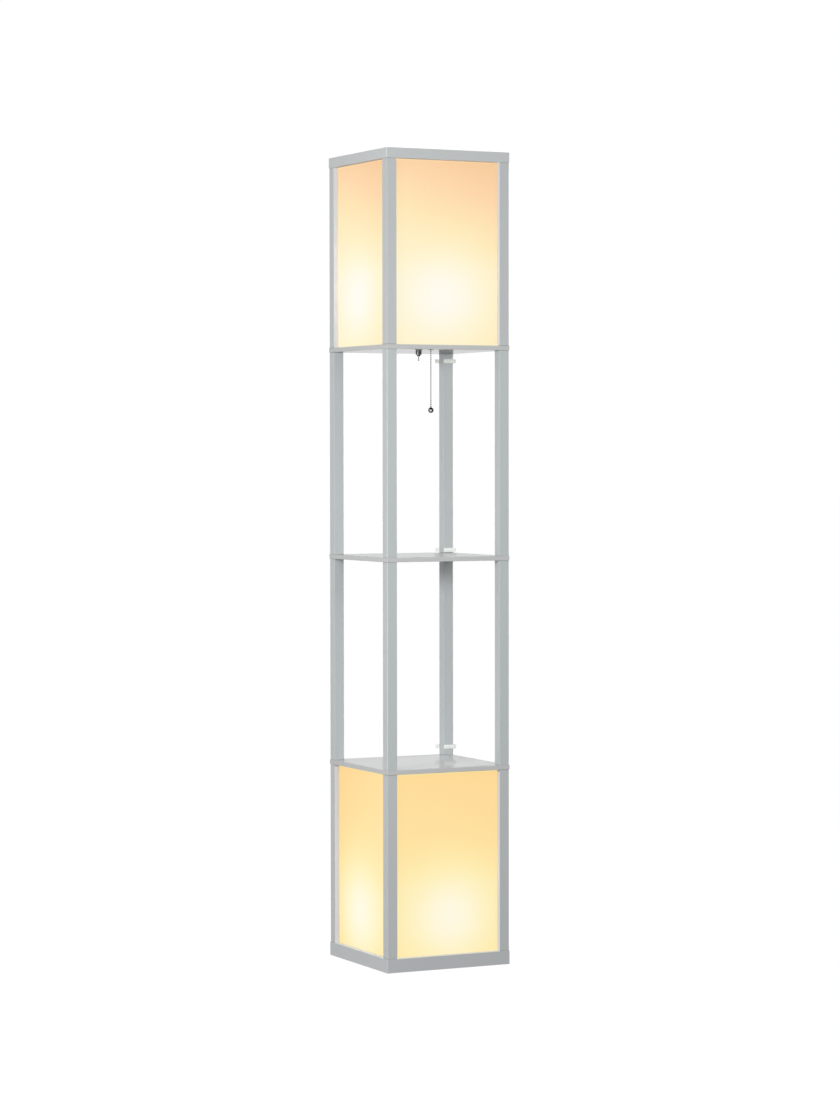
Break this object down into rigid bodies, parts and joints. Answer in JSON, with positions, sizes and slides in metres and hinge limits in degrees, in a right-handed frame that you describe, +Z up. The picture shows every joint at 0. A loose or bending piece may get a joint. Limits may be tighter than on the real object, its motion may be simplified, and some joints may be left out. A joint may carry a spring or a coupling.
{
  "type": "shelf floor lamp",
  "caption": "Tall square tower lamp: a glowing boxed lantern at top and bottom, open shelves on corner posts between them, and pull-chain switches under the upper lantern.",
  "frame": {"origin": "centre of the square footprint, at floor level, on the base cover's underside", "axes": "+Z up; -Y out of the front face that carries the pull chains; +X to the right of it"},
  "size_m": [0.2746, 0.2695, 1.6],
  "materials": {
    "frame_lacquer": "satin warm grey lacquer on timber",
    "rim_lacquer": "satin warm grey lacquer on timber",
    "base_lacquer": "satin warm grey lacquer on board",
    "shelf_lacquer": "semi-gloss grey lacquer on board",
    "shade_sheet": "milky translucent sheet, lit from inside",
    "shade_sheet_low": "milky translucent sheet, lit from inside",
    "zinc_steel": "bright zinc plate",
    "plain_wood": "bare beech",
    "board": "hardboard",
    "holder_plastic": "moulded white plastic",
    "brass_contact": "bright brass",
    "cap_metal": "bright aluminium",
    "opal_glass": "opal glass",
    "switch_plastic": "moulded off-white plastic",
    "dark_nickel": "dark nickel plate",
    "bead_chain": "nickel plate",
    "chrome_ball": "bright chrome",
    "lead_jacket": "white flexible jacket",
    "clip_plastic": "milky clear plastic",
    "black_plastic": "black nylon",
    "grommet_rubber": "white rubber",
    "terminal_plastic": "natural nylon",
    "wire_jacket": "white insulation"
  },
  "bodies": {
    "root": {"base_block": "base_lacquer", "base_bolts": "zinc_steel", "base_cover": "board", "holder_contacts": "brass_contact", "inlet_gland": "black_plastic", "inner_wires": "wire_jacket", "junction_box": "switch_plastic", "lead_clips": "clip_plastic", "link_lead": "lead_jacket", "lower_bay_post_left": "frame_lacquer", "lower_bay_post_near": "frame_lacquer", "lower_bay_post_rear": "frame_lacquer", "lower_bay_post_right": "frame_lacquer", "lower_bulb_cap": "cap_metal", "lower_bulb_glass": "opal_glass", "lower_lampholder": "holder_plastic", "lower_lantern_post_left": "frame_lacquer", "lower_lantern_post_near": "frame_lacquer", "lower_lantern_post_rear": "frame_lacquer", "lower_lantern_post_right": "frame_lacquer", "lower_shade_front": "shade_sheet_low", "lower_shade_left": "shade_sheet_low", "lower_shade_rear": "shade_sheet_low", "lower_shade_right": "shade_sheet_low", "lower_shelf": "shelf_lacquer", "middle_shelf": "shelf_lacquer", "panel_grommet": "grommet_rubber", "post_studs": "zinc_steel", "rim_dowels": "plain_wood", "rim_rail_front": "rim_lacquer", "rim_rail_left": "rim_lacquer", "rim_rail_rear": "rim_lacquer", "rim_rail_right": "rim_lacquer", "switch_1_housing": "switch_plastic", "switch_1_neck": "dark_nickel", "switch_2_bushing": "dark_nickel", "switch_2_housing": "switch_plastic", "terminal_block": "terminal_plastic", "upper_bay_post_left": "frame_lacquer", "upper_bay_post_near": "frame_lacquer", "upper_bay_post_rear": "frame_lacquer", "upper_bay_post_right": "frame_lacquer", "upper_bulb_cap": "cap_metal", "upper_bulb_glass": "opal_glass", "upper_lampholder": "holder_plastic", "upper_lantern_post_left": "frame_lacquer", "upper_lantern_post_near": "frame_lacquer", "upper_lantern_post_rear": "frame_lacquer", "upper_lantern_post_right": "frame_lacquer", "upper_shade_front": "shade_sheet", "upper_shade_left": "shade_sheet", "upper_shade_rear": "shade_sheet", "upper_shade_right": "shade_sheet", "upper_shelf": "shelf_lacquer", "wood_screws": "zinc_steel"},
    "pull_1": {"pull_1_chain": "bead_chain"},
    "pull_2": {"pull_2_stem": "bead_chain"},
    "swing_link": {"pull_2_link": "bead_chain"},
    "swing_chain": {"pull_2_chain": "bead_chain", "pull_ball": "chrome_ball"}
  },
  "joints": [
    {"name": "pull_1_slide", "type": "slide", "parent": "root", "child": "pull_1", "axis": [0, 0, -1], "range_m": [0, 0.008], "stiffness_N_per_m": 500, "springref_m": -0.002},
    {"name": "pull_2_slide", "type": "slide", "parent": "root", "child": "pull_2", "axis": [0, 0, -1], "range_m": [0, 0.008], "stiffness_N_per_m": 500, "springref_m": -0.002},
    {"name": "chain_swing_fore_aft", "type": "hinge", "parent": "pull_2", "child": "swing_link", "pos_m": [-0.027, -0.11, 1.209], "axis": [1, 0, 0], "range_deg": [-35, 35]},
    {"name": "chain_swing_sideways", "type": "hinge", "parent": "swing_link", "child": "swing_chain", "pos_m": [-0.027, -0.11, 1.209], "axis": [0, 1, 0], "range_deg": [-35, 35]}
  ]
}
